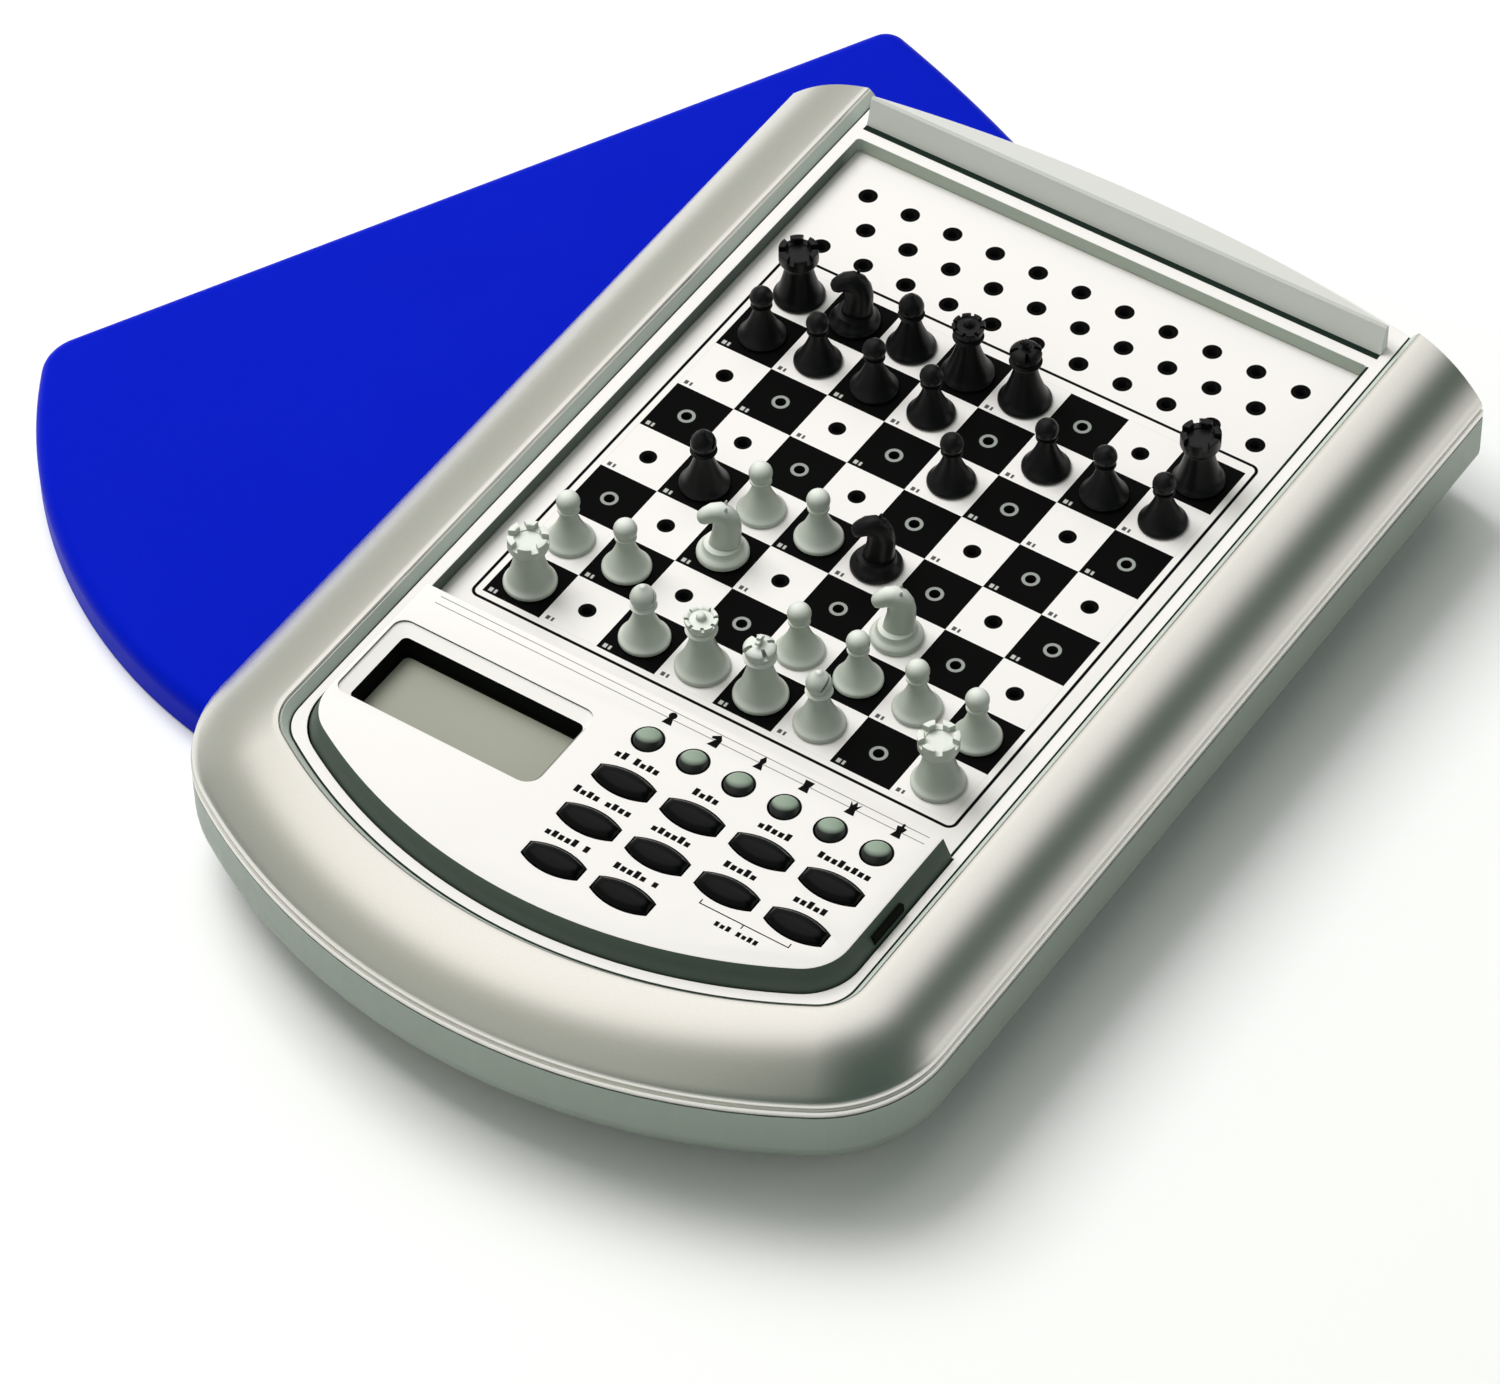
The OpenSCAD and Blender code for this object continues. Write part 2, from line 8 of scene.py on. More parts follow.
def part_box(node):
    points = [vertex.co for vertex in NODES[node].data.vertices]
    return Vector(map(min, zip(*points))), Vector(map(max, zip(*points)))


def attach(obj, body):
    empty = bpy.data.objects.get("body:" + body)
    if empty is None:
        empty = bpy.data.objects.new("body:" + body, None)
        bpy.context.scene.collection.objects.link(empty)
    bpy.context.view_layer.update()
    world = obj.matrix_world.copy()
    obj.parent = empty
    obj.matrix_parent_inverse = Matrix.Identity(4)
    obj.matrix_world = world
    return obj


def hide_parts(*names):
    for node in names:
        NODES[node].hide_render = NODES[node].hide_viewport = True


MM = 0.001
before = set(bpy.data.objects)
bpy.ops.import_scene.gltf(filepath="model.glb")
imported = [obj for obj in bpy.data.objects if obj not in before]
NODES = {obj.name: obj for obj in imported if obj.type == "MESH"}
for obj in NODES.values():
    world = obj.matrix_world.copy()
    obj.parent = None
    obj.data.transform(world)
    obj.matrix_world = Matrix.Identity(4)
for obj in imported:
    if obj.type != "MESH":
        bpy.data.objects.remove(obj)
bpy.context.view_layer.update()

# ---- Places, from the frame ----
# x and y run from the middle of the board, and z from the underside of the case.

case_lo, case_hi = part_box("lower_case")
CASE_HALF = (case_hi.x - case_lo.x) / 2 / MM
CASE_FRONT = -138.5
ORIGIN = Vector(((case_lo.x + case_hi.x) / 2, case_lo.y - CASE_FRONT * MM, case_lo.z))
BOARD_Z = (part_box("board_panel")[1].z - ORIGIN.z) / MM
STRIP_Z = BOARD_Z + 3.5  # top of the strip round the board
KEYPAD_Z = STRIP_Z + 4.3  # top of the keypad
SQUARE = 13.0
STORE_Y, STORE_GAP, STORE_PITCH = 59.4, 8.45, 9.93  # storage holes: first row, then row and hole spacing


def at(x, y, z):
    return ORIGIN + Vector((x, y, z)) * MM


# ---- Materials ----


class Paint:
    """A Principled material with short calls for its node tree."""

    def __init__(self, name, color=(0.5, 0.5, 0.5), rough=0.5, metal=0.0, **sockets):
        self.material = bpy.data.materials.new(name)
        self.material.use_nodes = True
        self.tree = self.material.node_tree
        self.bsdf = self.tree.nodes["Principled BSDF"]
        self.set("Base Color", (*color, 1))
        self.set("Roughness", rough)
        self.set("Metallic", metal)
        for key, value in sockets.items():
            self.set(key.replace("_", " "), value)
        self.place = None

    def set(self, socket, value):
        target = self.bsdf.inputs[socket]
        if isinstance(value, bpy.types.NodeSocket):
            self.tree.links.new(value, target)
        else:
            target.default_value = value

    def node(self, kind, inputs=(), **settings):
        n = self.tree.nodes.new(kind)
        for key, value in settings.items():
            setattr(n, key, value)
        for key, value in dict(inputs).items():
            if isinstance(value, bpy.types.NodeSocket):
                self.tree.links.new(value, n.inputs[key])
            else:
                n.inputs[key].default_value = value
        return n

    def calc(self, op, *values):
        return self.node("ShaderNodeMath", dict(enumerate(values)), operation=op).outputs[0]

    def minus(self, a, b):
        return self.calc("SUBTRACT", a, b)

    def size(self, value):
        return self.calc("ABSOLUTE", value)

    def hypot(self, a, b):
        return self.calc("SQRT", self.calc("ADD", self.calc("MULTIPLY", a, a), self.calc("MULTIPLY", b, b)))

    def product(self, *shares):
        out = shares[0]
        for share in shares[1:]:
            out = self.calc("MULTIPLY", out, share)
        return out

    def below(self, value, limit, soft=0.06):
        """1 where value is under limit and 0 above it, with a soft step between."""
        if isinstance(limit, bpy.types.NodeSocket):
            return self.span(self.minus(value, limit), soft, -soft)
        return self.span(value, limit + soft, limit - soft)

    def coords(self):
        """Millimetres in the frame."""
        if self.place is None:
            source = self.node("ShaderNodeTexCoord").outputs["Object"]
            scaled = self.node("ShaderNodeVectorMath", {0: source, 3: 1 / MM}, operation="SCALE")
            self.place = scaled.outputs[0]
        return self.place

    def case_xy(self):
        """x and y from the middle of the board."""
        xyz = self.node("ShaderNodeSeparateXYZ", {0: self.coords()}).outputs
        return self.minus(xyz[0], ORIGIN.x / MM), self.minus(xyz[1], ORIGIN.y / MM)

    def noise(self, scale, detail=3.0, rough=0.55):
        inputs = {"Vector": self.coords(), "Scale": scale, "Detail": detail, "Roughness": rough}
        return self.node("ShaderNodeTexNoise", inputs).outputs["Fac"]

    def span(self, value, low, high, to_low=0.0, to_high=1.0):
        inputs = {"Value": value, "From Min": low, "From Max": high, "To Min": to_low, "To Max": to_high}
        return self.node("ShaderNodeMapRange", inputs).outputs[0]

    def mix(self, share, a, b):
        n = self.node("ShaderNodeMix", data_type="RGBA")
        for index, value in ((0, share), (6, a), (7, b)):
            if isinstance(value, bpy.types.NodeSocket):
                self.tree.links.new(value, n.inputs[index])
            else:
                n.inputs[index].default_value = value if index == 0 else (*value[:3], 1)
        return n.outputs[2]

    def bump(self, height, strength, distance):
        inputs = {"Height": height, "Strength": strength, "Distance": distance * MM}
        self.set("Normal", self.node("ShaderNodeBump", inputs).outputs[0])

    def facing(self, direction, low, high):
        """0 to 1 as the surface's normal comes round to a fixed direction."""
        normal = self.node("ShaderNodeNewGeometry").outputs["Normal"]
        aim = Vector(direction).normalized()
        dot = self.node("ShaderNodeVectorMath", {0: normal, 1: aim}, operation="DOT_PRODUCT")
        return self.span(dot.outputs["Value"], low, high)

    def facing_up(self, low, high):
        return self.facing((0, 0, 1), low, high)


def moulded(name, color, rough=0.5, metal=0.0, grain=0.35, mottle=0.06, **sockets):
    """A plain finish: fine texture in the surface, slow changes in colour and gloss."""
    p = Paint(name, color, rough, metal, **sockets)
    dark = [c * (1 - mottle) for c in color]
    light = [min(1.0, c * (1 + mottle)) for c in color]
    p.set("Base Color", p.mix(p.span(p.noise(0.035, 2.0), 0.3, 0.7), dark, light))
    p.set("Roughness", p.span(p.noise(0.4), 0.3, 0.7, rough - 0.03, rough + 0.04))
    p.bump(p.noise(2.6, 2.0), grain, 0.012)
    return p


def lacquer(name, color, rough):
    """Silver paint: even gloss over very fine flakes."""
    p = Paint(name, color, rough, 1.0)
    flakes = p.span(p.noise(6.0, 1.0), 0.35, 0.65)
    dark, light = [c * 0.965 for c in color], [min(1.0, c * 1.035) for c in color]
    p.set("Base Color", p.mix(flakes, dark, light))
    p.set("Roughness", p.span(p.noise(0.02, 1.0), 0.3, 0.7, rough - 0.01, rough + 0.01))
    return p


def painted_shade_by_facing(name, side, top, low, high, rough, towards=(0, 0, 1)):
    """Painted shade: darker round the sides than where it faces one way, as if lit from that way."""
    p = moulded(name, top, rough, grain=0.15)
    p.set("Base Color", p.mix(p.facing(towards, low, high), side, top))
    return p


FRAME_WHITE = (0.83, 0.80, 0.785)
# grey-green of the walls, darkened as painted shade
FRAME_SIDE = (0.065, 0.09, 0.073)
INK = (0.003, 0.003, 0.003)

silver = lacquer("silver_lacquer", (0.76, 0.745, 0.705), 0.31)
bevel_grey = moulded("bevel_grey", (0.56, 0.62, 0.56), 0.5, grain=0.1, mottle=0.02)
case_grey = moulded("case_grey", (0.265, 0.31, 0.265), 0.42, 0.6, grain=0.3, mottle=0.02)
dark_gap = moulded("dark_gap", (0.004, 0.005, 0.004), 0.8, Specular_IOR_Level=0.05)
shade = moulded("shade", (0.012, 0.022, 0.017), 0.8, Specular_IOR_Level=0.05)
lcd_glass = moulded("lcd_glass", (0.335, 0.345, 0.283), 0.3, grain=0.0, mottle=0.02, Specular_IOR_Level=0.15)
# white men: painted shade darkens their sides; they are light where they face up
white_men = painted_shade_by_facing("white_men", (0.41, 0.45, 0.39), (0.74, 0.76, 0.71), 0.3, 0.95, 0.36)
black_men = moulded("black_men", (0.006, 0.006, 0.0065), 0.34, mottle=0.05, Specular_IOR_Level=0.22)
# round keys: painted shade on their front and sides; they are light where they face up and to the rear
round_key_paint = painted_shade_by_facing(
    "round_key", (0.006, 0.008, 0.007), (0.26, 0.33, 0.26), 0.64, 0.84, 0.4, (-0.15, 0.4, 0.9)
)
oval_key_paint = moulded("oval_key", (0.001, 0.0015, 0.0015), 0.22, grain=0.08, Specular_IOR_Level=0.12)
cover_blue = moulded(
    "cover_blue", (0.0005, 0.009, 0.47), 0.42, mottle=0.015, grain=0.15, Specular_IOR_Level=0.03
)
print_black = moulded("print_black", (0.004, 0.004, 0.004), 0.6, Specular_IOR_Level=0.05)
print_grey = moulded("print_grey", (0.30, 0.28, 0.27), 0.6, Specular_IOR_Level=0.1)
rubber = moulded("rubber", (0.22, 0.23, 0.22), 0.75)
solder_mask = moulded("solder_mask", (0.02, 0.13, 0.04), 0.35)
cell_sleeve = moulded("cell_sleeve", (0.05, 0.07, 0.09), 0.35, 0.3)
nickel = moulded("nickel", (0.62, 0.61, 0.58), 0.25, 1.0)
zinc = moulded("zinc", (0.45, 0.46, 0.47), 0.35, 1.0)


def frame_paint():
    """White on what faces up; grey-green on the walls, darkened further with painted shade; painted lighter
    on the long wall behind the storage holes, as painted light.
    """
    p = moulded("frame_white", FRAME_WHITE, 0.48, Specular_IOR_Level=0.3)
    # painted light: the long wall behind the storage holes lighter than the other walls
    far = p.span(p.case_xy()[1], 80, 86)
    walls = p.mix(far, FRAME_SIDE, (0.38, 0.44, 0.37))
    # painted shade: the walls darker than the faces that look up
    p.set("Base Color", p.mix(p.facing_up(0.72, 0.86), walls, FRAME_WHITE))
    return p


def bar_paint():
    """Light plastic, painted a little darker and warmer on top than on its steep front, as painted shade on
    the top.
    """
    p = moulded("bar_grey", (0.55, 0.57, 0.53), 0.45)
    p.set("Base Color", p.mix(p.facing_up(0.6, 0.9), (0.66, 0.68, 0.64), (0.63, 0.63, 0.61)))
    return p


def squares_colour(p, x, y):
    """Black and white squares, each with a ring round its hole and two marks in its near left corner."""
    file, rank = p.calc("DIVIDE", x, SQUARE), p.calc("DIVIDE", y, SQUARE)
    odd = p.calc("ADD", p.calc("FLOOR", file), p.calc("FLOOR", rank))
    dark = p.minus(1.0, p.calc("PINGPONG", odd, 1.0))
    u = p.calc("MULTIPLY", p.calc("FRACT", file), SQUARE)
    v = p.calc("MULTIPLY", p.calc("FRACT", rank), SQUARE)
    ring = p.below(p.hypot(p.minus(u, SQUARE / 2), p.minus(v, SQUARE / 2)), 1.75)

    def mark(low_u, high_u, low_v=0.6, high_v=1.6):
        du = p.size(p.minus(u, (low_u + high_u) / 2))
        dv = p.size(p.minus(v, (low_v + high_v) / 2))
        return p.product(p.below(du, (high_u - low_u) / 2), p.below(dv, (high_v - low_v) / 2))

    marks = p.calc("MAXIMUM", mark(0.9, 1.7), mark(2.1, 2.6))
    on_dark = p.mix(ring, p.mix(marks, INK, (0.5, 0.5, 0.48)), (0.30, 0.32, 0.30))
    on_light = p.mix(ring, p.mix(marks, FRAME_WHITE, (0.09, 0.09, 0.09)), INK)
    return p.mix(dark, on_light, on_dark)


def border_line(p, x, y):
    """The line round the squares: a rectangle with rounded corners."""
    half_x, half_y, mid_y, corner_r, half_line = 53.6, 54.0, 0.4, 1.6, 0.33
    past_x = p.calc("MAXIMUM", p.minus(p.size(x), half_x - corner_r), 0.0)
    past_y = p.calc("MAXIMUM", p.minus(p.size(p.minus(y, mid_y)), half_y - corner_r), 0.0)
    return p.below(p.size(p.minus(p.hypot(past_x, past_y), corner_r)), half_line)


def storage_collars(p, x, y):
    """A black collar round each storage hole. The middle row is half a step over and one hole shorter."""
    collar_r, holes_past_middle = 1.95, 5.4
    row = p.calc("DIVIDE", p.minus(y, STORE_Y), STORE_GAP)
    rows_from_middle = p.size(p.minus(row, 1.0))
    middle_row = p.below(rows_from_middle, 0.5)
    half_step = p.calc("MULTIPLY", middle_row, 0.5)
    along = p.calc("ADD", p.calc("DIVIDE", x, STORE_PITCH), half_step)
    su = p.calc("MULTIPLY", p.minus(p.calc("FRACT", p.calc("ADD", along, 20.5)), 0.5), STORE_PITCH)
    sv = p.calc("MULTIPLY", p.minus(p.calc("FRACT", p.calc("ADD", row, 0.5)), 0.5), STORE_GAP)
    reach = p.calc("MULTIPLY", p.minus(holes_past_middle, half_step), STORE_PITCH)
    return p.product(
        p.below(p.hypot(su, sv), collar_r), p.below(p.size(x), reach), p.below(rows_from_middle, 1.45)
    )


def board_paint():
    """Printed board: squares, the line round them and the storage holes' collars; dark painted shade in the
    holes.
    """
    p = moulded("board_print", FRAME_WHITE, 0.5, Specular_IOR_Level=0.02)
    x, y = p.case_xy()
    inside = p.product(p.below(p.size(x), 4 * SQUARE), p.below(p.size(y), 4 * SQUARE))
    plain = p.mix(border_line(p, x, y), FRAME_WHITE, INK)
    plain = p.mix(storage_collars(p, x, y), plain, INK)
    top = p.mix(inside, plain, squares_colour(p, x, y))
    # painted shade: whatever doesn't face up, the holes' walls among it, near-black
    p.set("Base Color", p.mix(p.facing_up(0.5, 0.9), (0.02, 0.02, 0.02), top))
    return p


# ---- Mesh tools: every bmesh is in millimetres, in the case's own place ----


def finish_mesh(name, bm, paints, body, replaces=(), sharp=35, bevel=0.0):
    """Makes a bmesh into a piece of the model."""
    mesh = bpy.data.meshes.new(name)
    bmesh.ops.recalc_face_normals(bm, faces=bm.faces)
    bm.to_mesh(mesh)
    bm.free()
    mesh.transform(Matrix.Translation(ORIGIN) @ Matrix.Scale(MM, 4))
    piece = bpy.data.objects.new(name, mesh)
    bpy.context.scene.collection.objects.link(piece)
    for paint in paints if isinstance(paints, (list, tuple)) else [paints]:
        mesh.materials.append(paint.material)
    mesh.polygons.foreach_set("use_smooth", [True] * len(mesh.polygons))
    mesh.set_sharp_from_angle(angle=math.radians(sharp))
    if bevel:
        soften(piece, bevel, sharp, harden=True)
    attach(piece, body)
    if replaces:
        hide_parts(*replaces)
    return piece


def soften(piece, width, sharp, harden):
    """Bevels the edges that are sharper than an angle."""
    m = piece.modifiers.new("edges", "BEVEL")
    m.width = width * MM
    m.segments = 2
    m.limit_method = "ANGLE"
    m.angle_limit = math.radians(sharp)
    m.harden_normals = harden


def cad(node, paint, bevel=0.0, sharp=35):
    """A CAD node keeps its shape and gets its finish."""
    piece = NODES[node]
    piece.data.materials.clear()
    piece.data.materials.append(paint.material)
    if bevel:
        weld = piece.modifiers.new("weld", "WELD")
        weld.merge_threshold = 0.01 * MM
        soften(piece, bevel, sharp, harden=False)


def on_arc(r, angle, x=0.0, y=0.0):
    return x + r * math.cos(angle), y + r * math.sin(angle)


def circle(r, x=0.0, y=0.0, n=40):
    return [on_arc(r, math.tau * i / n, x, y) for i in range(n)]


def box_outline(x0, x1, y0, y1):
    return [(x0, y0), (x1, y0), (x1, y1), (x0, y1)]


def rounded(x0, x1, y0, y1, r, n=6):
    """Rectangle with rounded corners. r is one radius, or four: rear right, then anticlockwise."""
    radii = r if isinstance(r, (list, tuple)) else [r] * 4
    out = []
    for k, (cx, cy) in enumerate(((x1, y1), (x0, y1), (x0, y0), (x1, y0))):
        q = radii[k]
        mx, my = cx - q * (1 if cx == x1 else -1), cy - q * (1 if cy == y1 else -1)
        out += [on_arc(q, math.pi / 2 * (k + i / n), mx, my) for i in range(n + 1)]
    return out


def plan_path(half, front_r, front_cy, corner_r, inset, rear_y, corner_n=14, front_n=40):
    """A straight-sided plan with rounded corners and a curved front, from the right rear to the left rear."""
    cx = half - corner_r
    cy = front_cy - math.sqrt((front_r - corner_r) ** 2 - cx**2)
    slope = math.atan2(cy - front_cy, cx)
    sweep = math.pi + 2 * slope
    out = [(half - inset, rear_y(half - inset))]
    out += [on_arc(corner_r - inset, slope * i / corner_n, cx, cy) for i in range(corner_n + 1)]
    out += [on_arc(front_r - inset, slope - sweep * i / front_n, 0.0, front_cy) for i in range(1, front_n)]
    return out + [(-x, y) for x, y in out[corner_n + 1 :: -1]]


def turn_by(angle, points):
    """(x, y) or (x, y, z) points turned about the z axis."""
    c, s = math.cos(angle), math.sin(angle)
    return [(c * p[0] - s * p[1], s * p[0] + c * p[1], *p[2:]) for p in points]


def level(outline, z):
    return [(x, y, z) for x, y in outline]


def loft(bm, rings, capped=True, index=0):
    """Faces between rings of as many points each. Caps close the first and the last ring."""
    made = [[bm.verts.new(p) for p in ring] for ring in rings]
    n = len(made[0])
    for a, b in zip(made, made[1:]):
        for i in range(n):
            j = (i + 1) % n
            bm.faces.new((a[i], a[j], b[j], b[i])).material_index = index
    if capped:
        bm.faces.new(made[0][::-1]).material_index = index
        bm.faces.new(made[-1]).material_index = index
    return made


def prism(bm, outline, z0, z1, index=0):
    loft(bm, [level(outline, z0), level(outline, z1)], index=index)


def swept(bm, profile, path, marked=()):
    """A closed profile of (inset, z) drawn along path(inset). Marked sides take the second paint."""
    columns = [level(path(inset), z) for inset, z in profile]
    made = loft(bm, list(zip(*columns)))
    for k in marked:
        for ring, after in zip(made, made[1:]):
            for face in set(ring[k].link_faces) & set(after[(k + 1) % len(profile)].link_faces):
                face.material_index = 1


def cut(name, bm, cutter):
    """bm with cutter taken out of it, as a new bmesh."""
    objects = []
    for part in (bm, cutter):
        bmesh.ops.recalc_face_normals(part, faces=part.faces)
        mesh = bpy.data.meshes.new(name)
        part.to_mesh(mesh)
        part.free()
        o = bpy.data.objects.new(name, mesh)
        bpy.context.scene.collection.objects.link(o)
        objects.append(o)
    m = objects[0].modifiers.new("cut", "BOOLEAN")
    m.object, m.operation, m.solver = objects[1], "DIFFERENCE", "EXACT"
    evaluated = objects[0].evaluated_get(bpy.context.evaluated_depsgraph_get())
    out = bmesh.new()
    out.from_mesh(evaluated.to_mesh())
    for o in objects:
        bpy.data.objects.remove(o)
    bmesh.ops.remove_doubles(out, verts=out.verts, dist=1e-4)
    return out


# ---- Silver rim ----

RIM_W, RIM_BEVEL = 17.0, 1.6
RIM_IN = RIM_W + RIM_BEVEL  # inset of the opening in the rim
RIM_LOW = 14.45  # lower edge, just over the joint with the lower case
REAR_R = 364.0
REAR_CY = 103.0 - REAR_R


def rear_arc(x, inset=0.0):
    return REAR_CY + math.sqrt((REAR_R - inset) ** 2 - x * x)


def case_path(inset, rear=rear_arc):
    return plan_path(CASE_HALF, 130.0, CASE_FRONT + 130.0, 27.0, inset, rear)


def rim_profile():
    """Section of the rim as (inset, z), from its lower edge up the outside, over the crown and back below."""
    lip = [(0.55, RIM_LOW), (0.15, 14.5), (0.0, 14.7), (0.0, 16.05), (0.12, 16.22), (0.55, 16.3)]
    groove = [(0.62, 16.48), (0.36, 16.68), (0.3, 16.95), (0.32, 17.25), (0.42, 17.55), (0.6, 17.85)]
    dome = []
    for k in range(16, 0, -1):  # ever flatter from the outer edge to the crown
        u = 0.975 * k / 16
        dome.append((16.4 - 16.1 * u, 25.17 - 7.5 * (0.346 * u + 0.654 * u**2.6)))
    crown = [(16.6, 25.17), (16.85, 25.08), (RIM_W - 0.02, 24.9), (RIM_W + 0.05, 24.72)]
    bevel = [(RIM_W + 0.2, 24.7), (RIM_IN - 0.1, 23.0), (RIM_IN, 22.8)]
    inside = [(RIM_IN, 19.45), (14.0, 19.45), (3.0, 16.0), (2.4, RIM_LOW)]
    first_bevel_side = len(lip + groove + dome + crown)
    return lip + groove + dome + crown + bevel + inside, (first_bevel_side, first_bevel_side + 1)


def rear_wall(bm, steps=40):
    """Wall along the rear, cut down under the slope of the rim at its ends."""
    section = ((0.15, RIM_LOW), (0.02, 14.6), (0.02, 19.6), (2.2, 19.6), (2.2, RIM_LOW))
    half = CASE_HALF - 2.8
    rings = []
    for i in range(steps + 1):
        x = half * (2 * i / steps - 1)
        top = 19.6 - max(0.0, 14.0 - (CASE_HALF - abs(x))) * (19.45 - 16.0) / 11.0
        rings.append([(x, rear_arc(x, inset), min(z, top)) for inset, z in section])
    loft(bm, rings)


profile, bevel_sides = rim_profile()
bm = bmesh.new()
swept(bm, profile, case_path, bevel_sides)
rear_wall(bm)
finish_mesh("rim", bm, [silver, bevel_grey], "case", ["upper_case"], sharp=40, bevel=0.2)

# dark joint between the two halves of the case
JOINT_HALF = 77
joint = [(0.5, 14.0), (0.5, 14.8), (1.6, 14.8), (1.6, 14.0)]
bm = bmesh.new()
swept(bm, joint, lambda d: case_path(d, lambda x: rear_arc(x, 0.5)))
loft(bm, [[(x, rear_arc(x, d), z) for d, z in joint] for x in [JOINT_HALF * (i / 20 - 1) for i in range(41)]])
finish_mesh("case_joint", bm, dark_gap, "case")

# ---- Keypad block and the strip round the board ----

KEY_X, KEY_Y, KEY_PITCH, KEY_HOLE_R = -0.7, -71.4, 9.94, 3.2
ROUNDS = ("pawn", "knight", "bishop", "rook", "queen", "king")
OVAL_X, OVAL_Y, OVAL_PITCH, OVAL_ROW = 1.6, -82.5, 15.0, 11.05
OVAL_HALF_L, OVAL_HALF_W = 6.0, 3.0
OVALS = (  # name, column, row
    ("go", 0, 0), ("info", 1, 0), ("level", 2, 0), ("position", 3, 0),
    ("take_back", 0, 1), ("option", 1, 1), ("clear", 2, 1), ("enter", 3, 1),
    ("white_side", 0, 2), ("black_side", 1, 2),
)
LCD = (-53.4, -12.5, -91.9, -74.2)  # window: x from and to, y from and to
LCD_CORNERS = (1.5, 1.2, 1.2, 3.2)
LCD_Z = 21.6
KEYPAD_HALF, KEYPAD_REAR = 59.0, -61.9
BAR_FRONT = 90.0
RECESS_HALF, RECESS_REAR = 58.4, 86.1
CUT_LOW, CUT_HIGH = 10.0, 30.0  # a cutter's ends, below and above all that it cuts


def keypad_path(inset):
    return plan_path(KEYPAD_HALF, 108.0, -117.0 + 108.0, 12.0, inset, lambda x: KEYPAD_REAR, 10, 40)


def barrel(grow=0.0, n=16):
    """Outline of an oval key: a lens cut straight at both ends."""
    big = (OVAL_HALF_L**2 + (OVAL_HALF_W / 2) ** 2) / OVAL_HALF_W + grow
    half_sweep = math.asin(min(1.0, (OVAL_HALF_L + grow) / big))
    top = [big * math.sin(half_sweep * (1 - 2 * i / n)) for i in range(n + 1)]
    rear = [(x, OVAL_HALF_W - big + grow + math.sqrt(big**2 - x * x)) for x in top]
    return rear + [(x, -y) for x, y in rear[::-1]]


def oval_place(column, row):
    return OVAL_X + column * OVAL_PITCH, OVAL_Y - row * OVAL_ROW


def keypad_block():
    bm = bmesh.new()
    edge = ((0, 20.4), (0, STRIP_Z), (1.75, 26.8), (1.95, 27.15), (2.35, KEYPAD_Z))
    loft(bm, [level(keypad_path(inset), z) for inset, z in edge])
    holes = bmesh.new()
    hole_low = 19.0
    prism(holes, rounded(*LCD, LCD_CORNERS), hole_low, CUT_HIGH)
    for i in range(len(ROUNDS)):
        prism(holes, circle(KEY_HOLE_R, KEY_X + i * KEY_PITCH, KEY_Y), hole_low, CUT_HIGH)
    for _, column, row in OVALS:
        ox, oy = oval_place(column, row)
        prism(holes, [(ox + x, oy + y) for x, y in barrel(0.22)], hole_low, CUT_HIGH)
    bm = cut("keypad", bm, holes)
    # shallow sloped edge at the left and the rear of the window
    slope = bmesh.new()
    low = rounded(*LCD, LCD_CORNERS)
    high = rounded(LCD[0] - 2.9, LCD[1] + 0.8, LCD[2] - 0.5, LCD[3] + 2.9, (2.6, 2.6, 2.0, 3.4))
    loft(slope, [level(low, KEYPAD_Z - 1.1), level(high, KEYPAD_Z - 0.4), level(high, KEYPAD_Z + 0.2)])
    return cut("keypad", bm, slope)


def board_strip():
    bm = bmesh.new()
    half, play, n = CASE_HALF - RIM_IN - 0.3, 0.2, 24
    rear_x = [half * (2 * i / n - 1) for i in range(1, n)]
    outline = case_path(CASE_HALF - half, lambda x: rear_arc(x, play))
    outline += [(x, rear_arc(x, play)) for x in rear_x]
    prism(bm, outline, 19.6, STRIP_Z)
    for opening in (rounded(-RECESS_HALF, RECESS_HALF, -75.0, RECESS_REAR, 0.8), keypad_path(-0.35)):
        cutter = bmesh.new()
        prism(cutter, opening, CUT_LOW, CUT_HIGH)
        bm = cut("strip", bm, cutter)
    return bm


frame_white = frame_paint()
finish_mesh("keypad_block", keypad_block(), frame_white, "case", ["top_frame"], sharp=28)
finish_mesh("strip", board_strip(), frame_white, "case", sharp=28, bevel=0.2)

# shadow lines: between the strip and the rim, and along the right edge of the recess
gap_in, gap_out, gap_low, gap_top = RIM_IN - 0.05, RIM_IN + 0.55, 22.3, STRIP_Z - 0.25
bm = bmesh.new()
gap_section = box_outline(gap_in, gap_out, gap_low, gap_top)
swept(bm, gap_section, lambda d: case_path(d, lambda x: rear_arc(x, 0.3)))
recess_line = box_outline(RECESS_HALF - 0.07, RECESS_HALF + 0.45, KEYPAD_REAR + 0.2, RECESS_REAR - 0.1)
prism(bm, recess_line, 22.0, STRIP_Z + 0.03)
finish_mesh("frame_gap", bm, shade, "case")

